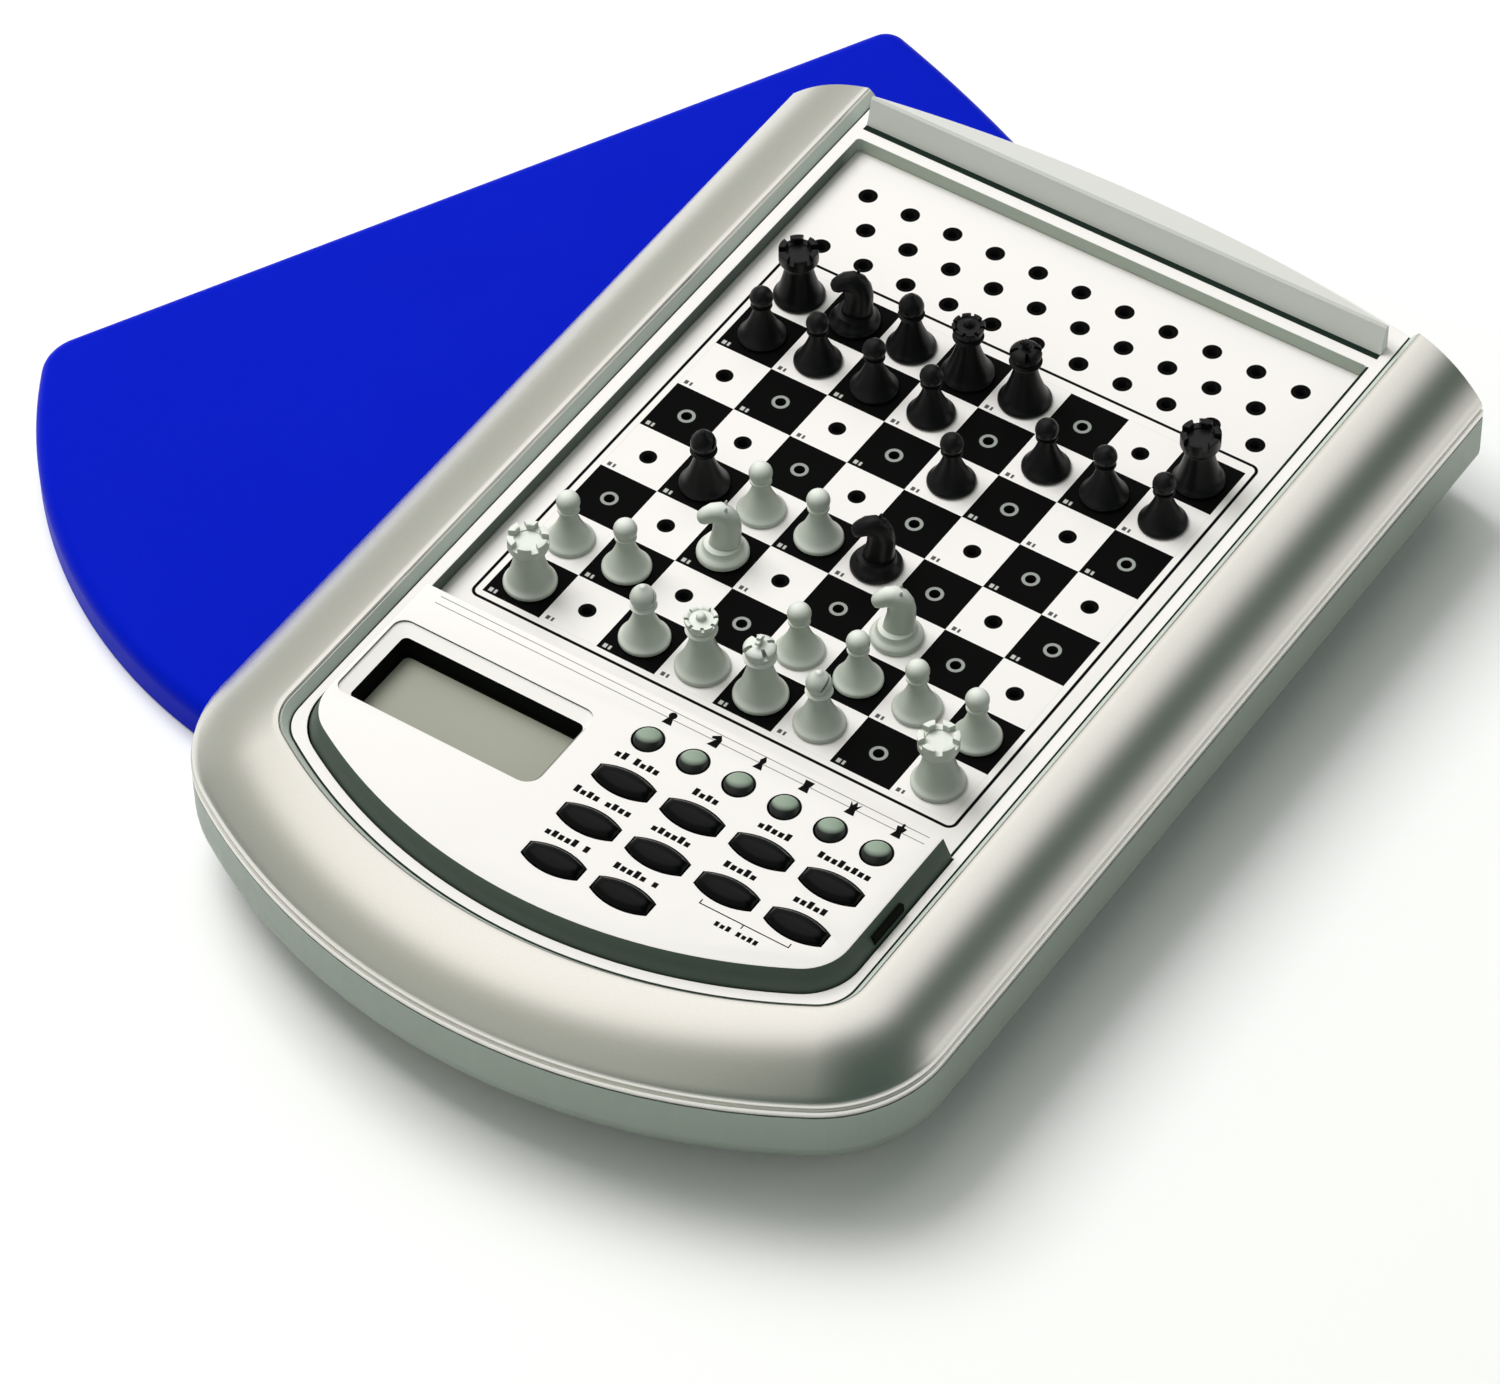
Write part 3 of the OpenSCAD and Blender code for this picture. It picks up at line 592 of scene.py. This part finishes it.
# bar behind the storage holes, and the shadow at its foot
BAR_HALF = 59
bar_front = [(BAR_FRONT, 22.9), (BAR_FRONT + 0.6, 24.5), (BAR_FRONT + 1.8, 28.7), (BAR_FRONT + 2.3, 29.2)]
bar_rear = [(5.8, 29.2), (5.4, 28.8), (5.4, 22.9)]  # inset from the rear of the case, height
bm = bmesh.new()
rings = []
for x in [BAR_HALF * (i / 15 - 1) for i in range(31)]:
    rings.append([(x, y, z) for y, z in bar_front] + [(x, rear_arc(x, d), z) for d, z in bar_rear])
loft(bm, rings)
finish_mesh("rear_bar", bm, bar_paint(), "case", sharp=25, bevel=0.2)
bm = bmesh.new()
prism(bm, box_outline(-BAR_HALF, BAR_HALF, BAR_FRONT - 1.3, BAR_FRONT + 1), STRIP_Z + 0.01, STRIP_Z + 0.06)
finish_mesh("bar_shadow_gap", bm, shade, "case")

# slot in the keypad's right wall, drawn as a dark box whose black is painted shade
bm = bmesh.new()
prism(bm, box_outline(KEYPAD_HALF - 1.4, KEYPAD_HALF - 0.13, -87.0, -77.5), 23.6, 25.4)
finish_mesh("side_slot", bm, dark_gap, "case")

# ---- Print on the keypad: plain marks in place of words, and small chess men ----

ICONS = {
    "pawn": [(-0.8, -1.2), (0.8, -1.2), (0.35, 0.1), (-0.35, 0.1)],
    "knight": [(-0.8, -1.2), (0.8, -1.2), (0.75, 0.4), (0.2, 1.2), (-0.9, 0.5), (-0.8, 0.1), (-0.1, 0.2)],
    "bishop": [
        (-0.75, -1.2), (0.75, -1.2), (0.3, -0.1), (0.5, 0.5), (0.0, 1.4), (-0.5, 0.5), (-0.3, -0.1),
    ],
    "rook": [(-0.8, -1.2), (0.8, -1.2), (0.5, -0.2), (0.75, 0.9), (-0.75, 0.9), (-0.5, -0.2)],
    "queen": [
        (-0.8, -1.2), (0.8, -1.2), (0.5, -0.2), (0.9, 1.1), (0.35, 0.5), (0.0, 1.4), (-0.35, 0.5),
        (-0.9, 1.1), (-0.5, -0.2),
    ],
    "king": [
        (-0.8, -1.2), (0.8, -1.2), (0.45, -0.2), (0.8, 0.8), (0.2, 0.9), (0.2, 1.5), (-0.2, 1.5),
        (-0.2, 0.9), (-0.8, 0.8), (-0.45, -0.2),
    ],
}
ICON_SCALE = 1.3
LABELS = {  # strokes in each group of a key's label
    "go": (2, 4), "info": (4,), "level": (5,), "position": (8,), "take_back": (4, 4), "option": (6,),
    "clear": (5,), "enter": (5,), "white_side": (5, 1), "black_side": (5, 1),
}
STROKE_PITCH, STROKE_W, GROUP_GAP = 1.42, 1.0, 1.2
STROKE_HEIGHTS = (1.2, 1.7, 1.1, 1.5, 1.2)
PRINT_T = 0.03


def printed(bm, outline, thickness=PRINT_T):
    prism(bm, outline, KEYPAD_Z - 0.2, KEYPAD_Z + thickness)


def man_icon(bm, kind, x, y):
    """A small silhouette with its foot towards the keys."""
    printed(bm, [(x + ICON_SCALE * a, y + ICON_SCALE * b) for a, b in ICONS[kind]])
    if kind == "pawn":
        head = circle(0.62 * ICON_SCALE, x, y + 0.55 * ICON_SCALE, 16)
        printed(bm, head, PRINT_T * 1.3)


def label(bm, name, column, row):
    """Short strokes where an oval key's label stands."""
    ox, oy = oval_place(column, row)
    groups = LABELS[name]
    total = sum(groups) * STROKE_PITCH + (len(groups) - 1) * GROUP_GAP
    x, y = ox - total / 2 - 0.5, oy + 4.6
    for g, count in enumerate(groups):
        for k in range(count):
            tall = STROKE_HEIGHTS[(k + g + column + row) % len(STROKE_HEIGHTS)]
            printed(bm, box_outline(x, x + STROKE_W, y, y + tall))
            x += STROKE_PITCH
        x += GROUP_GAP


def bracket(bm):
    """Thin bracket in front of the third and fourth key of the second row, with strokes under it."""
    x0, x1 = OVAL_X + 1.82 * OVAL_PITCH, OVAL_X + 3.1 * OVAL_PITCH
    mid, y, thin = (x0 + x1) / 2, OVAL_Y - OVAL_ROW - 4.9, 0.22
    printed(bm, box_outline(x0, x1, y - thin / 2, y + thin / 2))
    printed(bm, box_outline(x0, x0 + thin, y, y + 1.0))
    printed(bm, box_outline(x1 - thin, x1, y, y + 1.0))
    printed(bm, box_outline(mid - thin / 2, mid + thin / 2, y - 1.0, y))
    for k in range(7):
        x = mid - 4.6 + 1.2 * k + (1.0 if k > 2 else 0)
        printed(bm, box_outline(x, x + 0.8, y - 2.9, y - 2.0 + (0.2, 0, 0.3)[k % 3]))


bm = bmesh.new()
for i, kind in enumerate(ROUNDS):
    man_icon(bm, kind, KEY_X + i * KEY_PITCH + 0.6, KEY_Y + 6.5)
for name, column, row in OVALS:
    label(bm, name, column, row)
bracket(bm)
finish_mesh("keypad_print", bm, print_black, "case", sharp=20)

bm = bmesh.new()
for y in (-63.2, -65.0):
    printed(bm, box_outline(-53, 55, y - 0.09, y + 0.09))
finish_mesh("keypad_lines", bm, print_grey, "case", sharp=20)

# ---- Display ----


def window(grow):
    return LCD[0] - grow, LCD[1] + grow, LCD[2] - grow, LCD[3] + grow


WELL_TOP = 26.15
well = [
    (0.3, WELL_TOP), (0.3, 20.5), (-0.6, 20.5), (-0.6, LCD_Z + 0.1), (-0.1, LCD_Z + 0.1), (-0.1, WELL_TOP),
    (0.3, WELL_TOP),
]
bm = bmesh.new()
loft(bm, [level(rounded(*window(grow), LCD_CORNERS), z) for grow, z in well], capped=False)
bmesh.ops.remove_doubles(bm, verts=bm.verts, dist=1e-4)
finish_mesh("display_well", bm, dark_gap, "case", sharp=30)

bm = bmesh.new()
prism(bm, box_outline(*window(1.2)), 14.5, LCD_Z - 0.5)
prism(bm, box_outline(*window(0.9)), LCD_Z - 0.5, LCD_Z - 0.01)
prism(bm, rounded(*window(-0.1), 1.8, 8), LCD_Z - 0.3, LCD_Z, 1)
finish_mesh("display_glass", bm, [dark_gap, lcd_glass], "case", ["display_module"], sharp=30)

# ---- Keys ----

KEY_LOW = 24.4


def key_cap(kind, rings, paint):
    bm = bmesh.new()
    loft(bm, rings)
    finish_mesh("cap_" + kind, bm, paint, "key_" + kind, ["key_" + kind], sharp=50)


def dome(wide, shoulder_z, tall):
    """(distance in from the widest place, z) up a quarter of an ellipse, almost to its top."""
    angles = [math.radians(a) for a in range(0, 89, 8)]
    return [(wide * (1 - math.cos(a)), shoulder_z + tall * math.sin(a)) for a in angles]


for i, kind in enumerate(ROUNDS):
    cap_r = 2.83
    rings = [level(circle(cap_r - d, KEY_X + i * KEY_PITCH, KEY_Y, 36), z)
             for d, z in [(0.0, KEY_LOW)] + dome(cap_r, 27.05, 1.55)]
    key_cap(kind, rings, round_key_paint)

for name, column, row in OVALS:
    ox, oy = oval_place(column, row)
    rings = []
    for d, z in [(0.0, KEY_LOW)] + dome(2.8, 27.0, 1.6):
        shrink = d + 0.08
        sx, sy = (OVAL_HALF_L - shrink) / OVAL_HALF_L, (OVAL_HALF_W - shrink) / OVAL_HALF_W
        rings.append([(ox + x * sx, oy + y * sy, z) for x, y in barrel()])
    key_cap(name, rings, oval_key_paint)

# ---- Chess men ----

PEG_R, PEG_L = 1.03, 3.9
PEG = [(0, -PEG_L), (PEG_R - 0.25, -PEG_L), (PEG_R, -PEG_L + 0.4), (PEG_R, 0.02)]


def turned(outline, n=36):
    """A new bmesh of (radius, height) points turned about a man's axis. The end radii may be 0."""
    bm = bmesh.new()
    made = loft(bm, [level(circle(r, n=n), h) for r, h in outline if r > 0], capped=False)
    for end, (r, h) in ((made[0], outline[0]), (made[-1], outline[-1])):
        if r == 0:
            tip = bm.verts.new((0, 0, h))
            for i in range(n):
                bm.faces.new((end[i], end[(i + 1) % n], tip))
        else:
            bm.faces.new(end)
    return bm


def bell(base_r, neck_r, neck_z):
    """Peg, foot and bell-shaped body up to the neck."""
    foot = [(base_r - 0.35, 0.02), (base_r, 0.3), (base_r, 0.75), (base_r - 0.25, 1.1), (base_r - 0.55, 1.35)]
    body = []
    for k in range(1, 11):
        t = k / 10
        body.append((neck_r + (base_r - 0.65 - neck_r) * (1 - t) ** 1.55, 1.45 + (neck_z - 1.45) * t))
    return PEG + foot + body


def build_pawn(_turn):
    collar = [(1.75, 8.25), (2.15, 8.45), (2.1, 8.75), (1.6, 8.9)]
    ball_r, ball_z = 2.3, 10.5
    angles = [math.radians(-45 + 13.5 * i) for i in range(10)]
    ball = [(ball_r * math.cos(a), ball_z + ball_r * math.sin(a)) for a in angles]
    return turned(bell(4.8, 1.55, 8.1) + collar + ball + [(0, ball_z + ball_r)])


def build_rook(turn):
    tower = [
        (3.0, 9.0), (3.75, 9.7), (3.95, 10.2), (3.95, 12.9), (3.75, 13.0), (2.75, 13.0), (2.6, 12.85),
        (2.6, 11.5), (0, 11.5),
    ]
    bm = turned(bell(5.2, 2.75, 8.6) + tower)
    slots = bmesh.new()
    for k in range(3):  # three slots across make six battlements; uneven ends keep their faces apart
        outline = turn_by(turn + k * math.pi / 3, box_outline(-5, 5, -0.7, 0.7))
        prism(slots, outline, 11.7 - 0.003 * k, 14 + 0.01 * k)
    return cut("rook", bm, slots)


def build_bishop(turn):
    head = [
        (1.85, 8.75), (2.5, 9.0), (2.65, 9.35), (2.3, 9.6), (1.9, 9.75), (2.25, 10.2), (2.5, 10.9),
        (2.5, 11.6), (2.25, 12.4), (1.8, 13.1), (1.2, 13.75), (0.75, 14.1), (0.6, 14.35), (0.35, 14.5),
        (0, 14.52),
    ]
    bm = turned(bell(5.0, 1.8, 8.5) + head)
    slot = [(0.2, 11.35), (0.75, 11.2), (3.2, 13.9), (2.6, 14.3)]
    slot_cutter = bmesh.new()
    loft(slot_cutter, [turn_by(turn, [(x, y, z) for x, z in slot]) for y in (-4.0, 4.0)])
    return cut("bishop", bm, slot_cutter)


def crown_notches(turn, count, inner, inner_half, outer_half, low, high):
    """Wedges that cut a crown's rim at both ends of each of count diameters."""
    notches = bmesh.new()
    outer = 4.0
    for k in range(count):
        for side in (-1, 1):
            wedge = [
                (side * inner, -inner_half), (side * outer, -outer_half), (side * outer, outer_half),
                (side * inner, inner_half),
            ]
            prism(notches, turn_by(turn + k * math.pi / count, wedge), low, high)
    return notches


def build_queen(turn):
    head = [
        (2.3, 9.8), (3.0, 10.1), (3.1, 10.4), (2.8, 10.65), (2.55, 10.75), (2.7, 11.2), (3.05, 12.3),
        (3.25, 13.2), (3.15, 13.45), (2.75, 13.5), (2.45, 13.35), (2.2, 13.1), (1.3, 13.15), (1.0, 13.35),
        (0.95, 13.8), (0.75, 14.2), (0.4, 14.45), (0, 14.5),
    ]
    bm = turned(bell(5.3, 2.1, 9.5) + head, 40)
    return cut("queen", bm, crown_notches(turn, 4, 2.3, 0.28, 0.42, 12.75, 14.4))


def build_king(turn):
    head = [
        (2.45, 10.1), (3.15, 10.45), (3.25, 10.8), (2.9, 11.05), (2.65, 11.2), (2.85, 11.8), (3.15, 12.7),
        (3.15, 13.2), (2.9, 13.6), (2.2, 14.0), (1.2, 14.2), (0, 14.25),
    ]
    bm = turned(bell(5.3, 2.25, 9.8) + head, 40)
    bm = cut("king", bm, crown_notches(turn + math.pi / 4, 2, 1.5, 0.3, 0.62, 12.5, 15.0))
    for half_a, half_b, z0, z1 in ((0.55, 0.5, 14.0, 16.15), (1.3, 0.5, 14.85, 15.55)):  # the cross
        outline = turn_by(turn, rounded(-half_a, half_a, -half_b, half_b, 0.18, 3))
        steps = ((0.9, z0), (1.0, z0 + 0.15), (1.0, z1 - 0.15), (0.86, z1))
        loft(bm, [[(x * k, y * k, z) for x, y in outline] for k, z in steps])
    return bm


# up a knight's neck and along its head, which points to -x: x, z, half the thickness in the xz plane,
# half the width, and the spine's direction in that plane in degrees
KNIGHT_SPINE = (
    (0.3, 2.6, 3.1, 2.6, 90), (0.5, 4.2, 3.0, 2.4, 92), (0.75, 5.9, 2.85, 2.25, 94),
    (0.9, 7.5, 2.75, 2.15, 98), (0.75, 9.0, 2.65, 2.1, 108), (0.2, 10.3, 2.5, 2.05, 128),
    (-0.8, 11.0, 2.3, 1.95, 158), (-1.9, 10.9, 2.05, 1.8, 188), (-2.9, 10.3, 1.8, 1.6, 208),
    (-3.7, 9.75, 1.55, 1.4, 212), (-4.2, 9.4, 1.05, 1.0, 212),
)


def oval_ring(x, y, z, rx, ry, n=10):
    return [(x + rx * math.cos(math.tau * k / n), y + ry * math.sin(math.tau * k / n), z) for k in range(n)]


def build_knight(turn):
    foot = [
        (4.75, 0.02), (5.1, 0.3), (5.1, 0.9), (4.8, 1.4), (4.3, 1.75), (3.9, 2.2), (3.75, 2.8), (3.6, 3.1),
        (0, 3.2),
    ]
    bm = turned(PEG + foot)
    rings = []
    for x, z, deep, wide, degrees in KNIGHT_SPINE:
        nx, nz = -math.sin(math.radians(degrees)), math.cos(math.radians(degrees))
        ring = []
        for a in [math.tau * i / 20 for i in range(20)]:
            along, across = math.cos(a), math.sin(a)
            narrowed = wide * (1 - 0.12 * along)
            ring.append((x + nx * deep * along, narrowed * across, z + nz * deep * along))
        rings.append(turn_by(turn, ring))
    loft(bm, rings)
    for side in (-1, 1):  # ears
        x, y, z = 0.55, side * 0.85, 12.1
        ear = (
            oval_ring(x - 0.1, y, z - 0.9, 0.6, 0.5), oval_ring(x, y, z, 0.55, 0.42),
            oval_ring(x + 0.35, y + side * 0.1, z + 1.25, 0.12, 0.1),
        )
        loft(bm, [turn_by(turn, ring) for ring in ear])
    return bm


BUILDERS = {
    "pawn": build_pawn, "rook": build_rook, "bishop": build_bishop, "queen": build_queen,
    "king": build_king, "knight": build_knight,
}
KNIGHT_TURN = math.radians(34)


def square_of(node):
    """File and rank of a man, from 0 to 7."""
    lo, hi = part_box(node)
    middle = ((lo + hi) / 2 - ORIGIN) / MM
    return round(middle.x / SQUARE + 3.5), round(middle.y / SQUARE + 3.5)


for node in sorted(n for n in NODES if n.startswith(("white_", "black_"))):
    colour, kind = node.split("_")[:2]
    file, rank = square_of(node)
    # the men were put down by hand, so their slots and crowns point every way
    turn = KNIGHT_TURN if kind == "knight" else math.radians(25 + 37 * ((file * 3 + rank) % 5))
    bm = BUILDERS[kind](turn)
    bmesh.ops.translate(bm, verts=bm.verts, vec=((file - 3.5) * SQUARE, (rank - 3.5) * SQUARE, BOARD_Z))
    paint = white_men if colour == "white" else black_men
    finish_mesh("man_" + node, bm, paint, node, [node], sharp=38)

# ---- Cover ----

cover_lo, cover_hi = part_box("cover")
COVER_H = (cover_hi.z - cover_lo.z) / MM
COVER_TURN = math.radians(-27.8)
COVER_MID = (-74.8, 17.0)
COVER_HALF_W, COVER_HALF_L = 66.0, 109.5
COVER_EDGE_R = 3.2


def cover_ring(inset, z):
    def end(arc_r, corner_r, corner_n):
        middle = arc_r - COVER_HALF_L
        return plan_path(COVER_HALF_W, arc_r, middle, corner_r, inset, lambda x: 0.0, corner_n, 40)[1:-1]

    points = end(115.0, 10.0, 12) + [(-x, -y) for x, y in end(350.0, 5.0, 10)]
    return [(x + COVER_MID[0], y + COVER_MID[1], z - COVER_H) for x, y in turn_by(COVER_TURN, points)]


def cover_shell():
    bm = bmesh.new()
    outside = [(2.0, 0.0), (0.25, 0.0), (0.0, 0.25), (0.0, 5.6)]
    for a in [math.radians(d) for d in range(0, 91, 10)]:
        outside.append((COVER_EDGE_R * (1 - math.cos(a)), COVER_H - COVER_EDGE_R * (1 - math.sin(a))))
    inside = [(2.0, 0.0), (2.0, COVER_H - 3.6), (2.5, COVER_H - 2.5), (3.4, COVER_H - 1.9)]
    for skin in (outside, inside):
        top = loft(bm, [cover_ring(inset, z) for inset, z in skin], capped=False)[-1]
        bm.faces.new(top)
    bmesh.ops.remove_doubles(bm, verts=bm.verts, dist=1e-4)
    return bm


finish_mesh("lid", cover_shell(), cover_blue, "cover", ["cover"], sharp=40)

# ---- CAD parts that keep their shape ----

cad("lower_case", case_grey)
cad("board_panel", board_paint())
cad("circuit_board", solder_mask)
cad("key_mat", rubber)
cad("batteries", cell_sleeve)
cad("battery_contacts", nickel)
cad("battery_door", case_grey, bevel=0.2)
cad("case_screws", zinc)

# ---- Floor, light and camera ----


def floor():
    bm = bmesh.new()
    bmesh.ops.create_grid(bm, x_segments=1, y_segments=1, size=3.0)
    mesh = bpy.data.meshes.new("floor")
    bm.to_mesh(mesh)
    bm.free()
    piece = bpy.data.objects.new("floor", mesh)
    bpy.context.scene.collection.objects.link(piece)
    piece.location.z = -0.2 * MM
    mesh.materials.append(Paint("floor", (0.93, 0.93, 0.93), 0.9).material)


def softbox(name, place, size, power):
    """A square light that looks at the origin and isn't seen in reflections."""
    data = bpy.data.lights.new(name, "AREA")
    data.size = size
    data.energy = power
    lamp = bpy.data.objects.new(name, data)
    bpy.context.scene.collection.objects.link(lamp)
    lamp.visible_glossy = False
    lamp.location = place
    lamp.rotation_euler = (-Vector(place)).to_track_quat("-Z", "Y").to_euler()


# what the silver mirrors: direction, cosine where a patch begins and where it is full, colour
STUDIO_DARK = (0.05, 0.085, 0.068)
STUDIO_PATCHES = (
    ((-0.8, 0.4, 0.45), 0.55, 0.9, (0.54, 0.555, 0.505)),  # left
    ((-0.38, -0.6, 0.7), 0.6, 0.95, (0.46, 0.475, 0.425)),  # front
    ((0.75, 0.57, 0.3), 0.93, 0.99, (1.05, 1.03, 1.0)),  # low at the right
    ((-0.38, 0.06, 0.92), 0.87, 0.97, (1.3, 1.27, 1.22)),  # above
    ((-0.22, 0.45, 0.86), 0.86, 0.97, (1.3, 1.28, 1.25)),  # above and behind
)


def studio():
    """A dark room with bright and dim patches."""
    world = bpy.data.worlds.new("studio")
    bpy.context.scene.world = world
    world.use_nodes = True
    tree = world.node_tree
    where = tree.nodes.new("ShaderNodeTexCoord").outputs["Generated"]
    colour = None
    for direction, begins, full, patch in STUDIO_PATCHES:
        dot = tree.nodes.new("ShaderNodeVectorMath")
        dot.operation = "DOT_PRODUCT"
        dot.inputs[1].default_value = Vector(direction).normalized()
        tree.links.new(where, dot.inputs[0])
        share = tree.nodes.new("ShaderNodeMapRange")
        share.interpolation_type = "SMOOTHSTEP"
        share.inputs["From Min"].default_value = begins
        share.inputs["From Max"].default_value = full
        tree.links.new(dot.outputs["Value"], share.inputs["Value"])
        mix = tree.nodes.new("ShaderNodeMix")
        mix.data_type = "RGBA"
        tree.links.new(share.outputs[0], mix.inputs[0])
        if colour is None:
            mix.inputs[6].default_value = (*STUDIO_DARK, 1)
        else:
            tree.links.new(colour, mix.inputs[6])
        mix.inputs[7].default_value = (*patch, 1)
        colour = mix.outputs[2]
    tree.links.new(colour, tree.nodes["Background"].inputs["Color"])


floor()
studio()
softbox("key", (-0.75, 0.15, 1.25), 0.9, 17.5)
softbox("fill", (0.9, -0.9, 0.9), 1.6, 3)

camera_data = bpy.data.cameras.new("camera")
camera_data.lens = 162.285
camera_data.sensor_width = 36
camera_data.clip_end = 20
camera = bpy.data.objects.new("camera", camera_data)
bpy.context.scene.collection.objects.link(camera)
camera.location = at(480.996, -731.371, 947.470)
camera.rotation_euler = Euler([math.radians(a) for a in (41.97264, 0.81008, 33.91084)])
bpy.context.scene.camera = camera
bpy.context.scene.view_settings.view_transform = "Standard"
